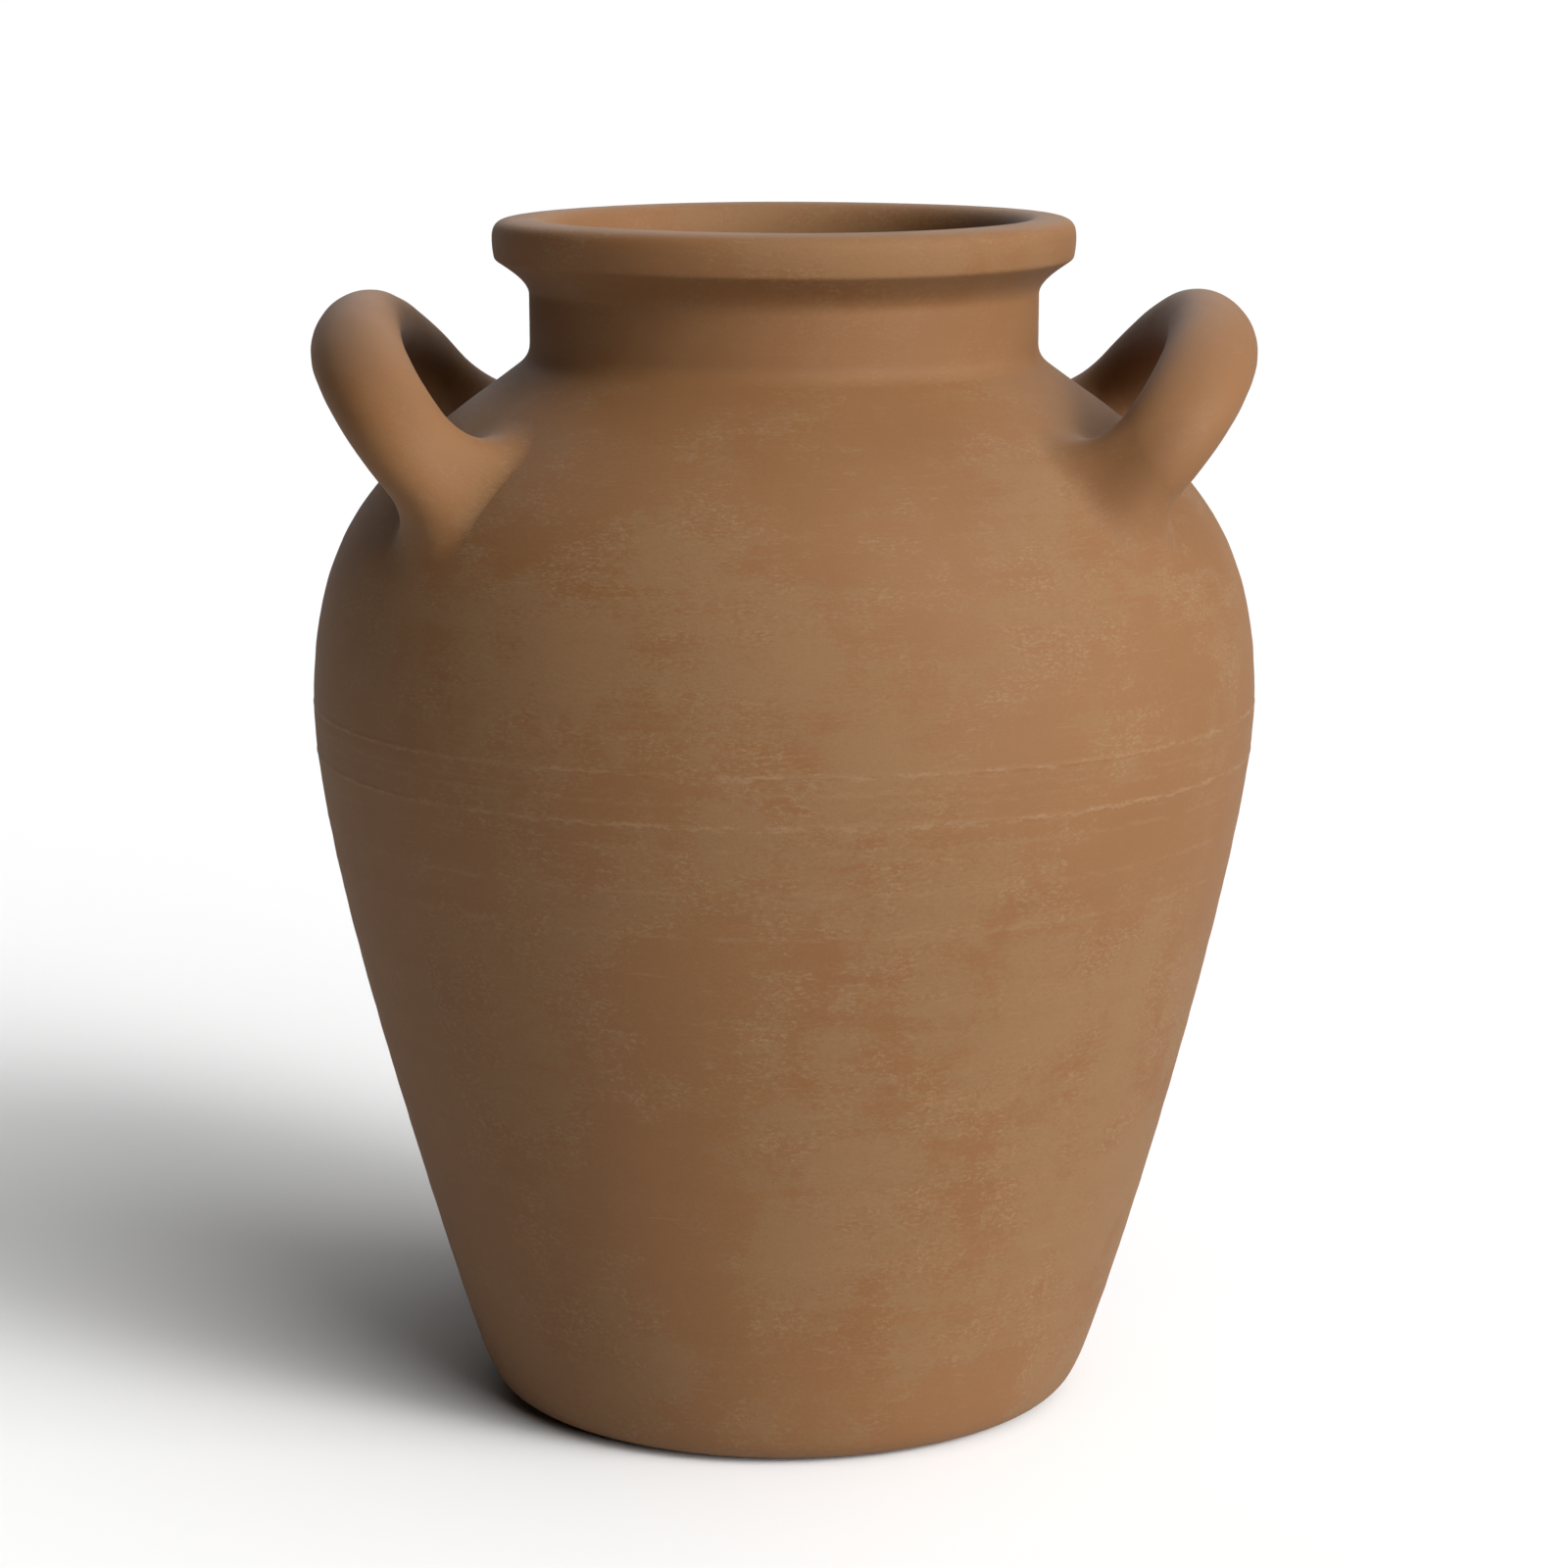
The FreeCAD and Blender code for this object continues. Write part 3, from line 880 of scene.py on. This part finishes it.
# Noises in the clay: stretch across the brush marks, scale per metre, detail and roughness
CLOUD = (1.1, 8.0, 2.0, 0.5)
PATCH = (1.0, 24.0, 9.0, 0.66)
STREAK = (12.0, 22.0, 5.0, 0.6)
FINE_STREAK = (16.0, 46.0, 6.0, 0.68)
FLECK = (2.2, 440.0, 5.0, 0.75)
CLUSTER = (1.2, 38.0, 4.0, 0.6)
WOBBLE = (1.0, 260.0, 4.0, 0.7)
LINE_BREAKS = (4.0, 70.0, 8.0, 0.75)
BRUSH = (30.0, 38.0, 3.0, 0.55)
GRAIN = (1.0, 1500.0, 2.0, 0.6)

# How much the height along the slope falls with the distance from the axis
CLIMB_LEAN = 0.5

# Below, an edge is where a smooth step in some noise starts and ends. Where there are four
# numbers, the last two are the values it goes between.

# Where the bloom lies: what each noise counts for, and each metre further down
PATCH_SHARE = 0.48
CLOUD_SHARE = 0.34
STREAK_SHARE = 0.18
LOW_DOWN_SHARE = 0.06
LOW_DOWN_HEIGHT = 0.2
FLECKED_EDGE = 0.30
BLOOM_EDGE = (0.468, 0.558)
BLOOM_HOLES = (0.35, 0.60, 0.72, 1.0)

# The specks: how rare they are, and how far from the middle of the bloom's edge they thin out
SPECK_EDGE = (0.51, 0.60)
CLUSTER_EDGE = (0.37, 0.60)
SPECK_BAND = 0.510
SPECK_THINNING = (0.0, 0.045, 1.0, 0.2)
SPECK_STRENGTH = 0.62

# The dust in lines: on the ridges, between them, and in fine scratches all over
DUST_LINES = [263.6 * MM, 260.0 * MM, 243.5 * MM]
LINE_STRENGTHS = [(RIDGES, 0.66), (FAINT_RIDGES, 0.32), (DUST_LINES, 0.25)]
LINE_WOBBLE = 6.0 * MM
LINE_EDGE = (0.3 * MM, 1.3 * MM)
LINE_BREAK_EDGE = (0.44, 0.58)
SCRATCH_EDGE = (0.60, 0.70)
SCRATCH_STRENGTH = 0.35

# How the colour, the gloss and the fine relief vary
DARK_FIRING_EDGE = (0.40, 0.62)
GRAIN_SHADE = (0.25, 0.75, 0.95, 1.05)
PATCH_SHADE = (0.3, 0.7, 0.975, 1.025)
BLOOM_ROUGHNESS = (0.0, 1.0, 0.74, 0.86)
GRAIN_ROUGHNESS = (0.3, 0.7, -0.04, 0.04)
SPECULAR_LEVEL = 0.33
GRAIN_RELIEF = 0.10
BRUSH_RELIEF = 0.08
FLECK_RELIEF = 0.12
DUST_RELIEF = 0.06
BUMP_STRENGTH = 0.5
BUMP_DISTANCE = 0.5 * MM


def slope_place(graph, across, depth, height):
    """Places whose height follows the clay's slope, which keeps brush marks level and even."""
    squared = graph.plus(graph.product(across, across), graph.product(depth, depth))
    radius = graph.maths("SQRT", squared)
    climb = graph.minus(height, graph.product(radius, CLIMB_LEAN))
    joined = graph.node("ShaderNodeCombineXYZ")
    for socket, value in zip(joined.inputs, (across, depth, climb)):
        graph.feed(socket, value)
    return joined.outputs[0]


def bloom_lie(graph, level, height, cloud, patch):
    """Where the bloom lies: soft clouds and patches, with more of it low down."""
    lie = graph.plus(graph.product(patch, PATCH_SHARE), graph.product(cloud, CLOUD_SHARE))
    lie = graph.plus(lie, graph.product(graph.noise(level, *STREAK), STREAK_SHARE))
    low_down = graph.minus(LOW_DOWN_HEIGHT, height)
    return graph.plus(lie, graph.product(low_down, LOW_DOWN_SHARE))


def bloom_cover(graph, lie, fleck):
    """How much bloom there is: its edges and its inside are broken into flecks."""
    flecked = graph.product(graph.minus(fleck, 0.5), FLECKED_EDGE)
    cover = graph.step(graph.plus(lie, flecked), *BLOOM_EDGE)
    return graph.product(cover, graph.step(fleck, *BLOOM_HOLES))


def specks(graph, level, lie, fleck):
    """Pale specks in clusters, most of them where the bloom ends."""
    edge = graph.step(graph.distance(lie, SPECK_BAND), *SPECK_THINNING)
    speck = graph.step(fleck, *SPECK_EDGE)
    speck = graph.product(speck, graph.step(graph.noise(level, *CLUSTER), *CLUSTER_EDGE))
    return graph.product(graph.product(speck, edge), SPECK_STRENGTH)


def dust_lines(graph, level, height):
    """Thin broken dust on the ridges round the belly, and a few lines like it between them."""
    wobble = graph.minus(graph.noise(level, *WOBBLE), 0.5)
    jagged = graph.plus(height, graph.product(wobble, LINE_WOBBLE))
    lines = 0.0
    for heights, strength in LINE_STRENGTHS:
        for line_height in heights:
            away = graph.distance(jagged, line_height)
            lines = graph.larger(graph.step(away, *LINE_EDGE, strength, 0.0), lines)
    return graph.product(lines, graph.step(graph.noise(level, *LINE_BREAKS), *LINE_BREAK_EDGE))


def scratches(graph, level):
    """Fine level streaks of dust left by the brush."""
    streak = graph.step(graph.noise(level, *FINE_STREAK), *SCRATCH_EDGE)
    return graph.product(streak, SCRATCH_STRENGTH)


def make_terracotta():
    """Orange clay with a thin pale bloom on it, dust in specks and lines, and a fine grain."""
    graph = Graph("terracotta")
    place_in_jar = graph.node("ShaderNodeTexCoord").outputs["Object"]
    apart = graph.node("ShaderNodeSeparateXYZ")
    graph.feed(apart.inputs[0], place_in_jar)
    across, depth, height = apart.outputs
    level = slope_place(graph, across, depth, height)
    dustiness = graph.node("ShaderNodeAttribute", attribute_name="bloom").outputs["Fac"]

    cloud = graph.noise(level, *CLOUD)
    patch = graph.noise(level, *PATCH)
    fleck = graph.noise(level, *FLECK)
    grain = graph.noise(place_in_jar, *GRAIN)
    lie = bloom_lie(graph, level, height, cloud, patch)
    bloom = graph.product(bloom_cover(graph, lie, fleck), dustiness)
    in_lines = graph.larger(dust_lines(graph, level, height), scratches(graph, level))
    dust = graph.larger(specks(graph, level, lie, fleck), in_lines)
    dust = graph.product(dust, dustiness)

    colour = graph.mix(graph.step(cloud, *DARK_FIRING_EDGE), ORANGE, DEEP_ORANGE)
    colour = graph.mix(bloom, colour, BLOOM)
    colour = graph.mix(dust, colour, PALE_DUST)
    shade = graph.product(graph.step(grain, *GRAIN_SHADE), graph.step(patch, *PATCH_SHADE))
    shaded = graph.node("ShaderNodeVectorMath", operation="SCALE")
    graph.feed(shaded.inputs[0], colour)
    graph.feed(shaded.inputs["Scale"], shade)

    roughness = graph.plus(graph.step(bloom, *BLOOM_ROUGHNESS), graph.step(grain, *GRAIN_ROUGHNESS))

    brush = graph.product(graph.noise(level, *BRUSH), dustiness)
    relief = graph.plus(graph.product(grain, GRAIN_RELIEF), graph.product(brush, BRUSH_RELIEF))
    relief = graph.plus(relief, graph.product(fleck, FLECK_RELIEF))
    relief = graph.plus(relief, graph.product(graph.larger(bloom, dust), DUST_RELIEF))
    bump = graph.node("ShaderNodeBump")
    graph.feed(bump.inputs["Strength"], BUMP_STRENGTH)
    graph.feed(bump.inputs["Distance"], BUMP_DISTANCE)
    graph.feed(bump.inputs["Height"], relief)

    clay = graph.node("ShaderNodeBsdfPrincipled")
    graph.feed(clay.inputs["Base Color"], shaded.outputs[0])
    graph.feed(clay.inputs["Roughness"], roughness)
    graph.feed(clay.inputs["Diffuse Roughness"], 0.0)
    graph.feed(clay.inputs["Specular IOR Level"], SPECULAR_LEVEL)
    graph.feed(clay.inputs["Normal"], bump.outputs[0])
    graph.finish(clay)
    return graph.material


# The studio

# The floor is a pale sheet that reaches to the horizon
FLOOR_HALF = 120.0
FLOOR_CORNERS = [(-1.0, -1.0), (1.0, -1.0), (1.0, 1.0), (-1.0, 1.0)]
FLOOR_WHITE = 0.8

# Suns as name, azimuth of the side it shines from, elevation, strength and width, in degrees
SUNS = [
    ("low_wide", -30.0, 18.0, 3.34, 40.0),
    ("left_wide", -50.0, 28.0, 2.26, 40.0),
    ("narrow", -40.0, 28.0, 0.90, 15.0),
    ("top_front", -40.0, 65.0, 1.25, 60.0),
    ("back", 80.0, 35.0, 0.55, 90.0),
]
# This one only shows in the gloss
SHEEN_SUN = ("sheen", 90.0, 45.0, 2.3, 60.0)

# The camera stands before the jar and looks down a little: a tilt of 90 degrees is level
CAMERA_PLACE = (0.0, -1.6442, 0.5439)
CAMERA_TILT = 79.343
CAMERA_LENS = 100.58
CAMERA_SENSOR = 36.0
CAMERA_REACH = 500.0


def add_floor():
    mesh = bpy.data.meshes.new("floor")
    corners = [(x * FLOOR_HALF, y * FLOOR_HALF, 0.0) for x, y in FLOOR_CORNERS]
    mesh.from_pydata(corners, [], [(0, 1, 2, 3)])
    graph = Graph("floor_white")
    paper = graph.node("ShaderNodeBsdfDiffuse")
    graph.feed(paper.inputs["Color"], (FLOOR_WHITE, FLOOR_WHITE, FLOOR_WHITE, 1.0))
    graph.finish(paper)
    mesh.materials.append(graph.material)
    floor = bpy.data.objects.new("floor", mesh)
    bpy.context.scene.collection.objects.link(floor)


def add_sun(name, azimuth, elevation, strength, width):
    """A soft sun. Azimuth is the side it shines from, in degrees from +X."""
    light = bpy.data.lights.new(name, "SUN")
    light.energy = strength
    light.angle = math.radians(width)
    sun = bpy.data.objects.new(name, light)
    bpy.context.scene.collection.objects.link(sun)
    turn = math.radians(azimuth)
    rise = math.radians(elevation)
    level = math.cos(rise)
    toward = Vector((math.cos(turn) * level, math.sin(turn) * level, math.sin(rise)))
    sun.rotation_euler = toward.to_track_quat("Z", "Y").to_euler()
    return sun


def add_world():
    """White where the camera sees it, and no light from it on anything."""
    world = bpy.data.worlds.new("studio")
    world.use_nodes = True
    tree = world.node_tree
    background = tree.nodes["Background"]
    background.inputs[0].default_value = (1.0, 1.0, 1.0, 1.0)
    ray = tree.nodes.new("ShaderNodeLightPath")
    tree.links.new(ray.outputs["Is Camera Ray"], background.inputs[1])
    bpy.context.scene.world = world


def add_camera():
    data = bpy.data.cameras.new("camera")
    data.lens = CAMERA_LENS
    data.sensor_width = CAMERA_SENSOR
    data.clip_end = CAMERA_REACH
    camera = bpy.data.objects.new("camera", data)
    camera.location = CAMERA_PLACE
    camera.rotation_euler = (math.radians(CAMERA_TILT), 0.0, 0.0)
    bpy.context.scene.collection.objects.link(camera)
    bpy.context.scene.camera = camera


terracotta = make_terracotta()
add_base()
add_ring("lower_wall", BASE_TOP, (BAND_BOTTOM, BAND_BOTTOM))
add_ring("joining_band", BAND_BOTTOM, (BELLY_HEIGHT, BELLY_HEIGHT))
add_ring("upper_wall", BELLY_HEIGHT, (SHOULDER_TOP, BORE_FOOT))
add_ring("neck_collar", SHOULDER_TOP, (NECK_TOP, NECK_TOP), BORE_FOOT)
add_rim()
add_handles()
add_floor()
for sun in SUNS:
    add_sun(*sun)
add_sun(*SHEEN_SUN).visible_diffuse = False
add_world()
add_camera()
bpy.context.scene.view_settings.view_transform = "Standard"
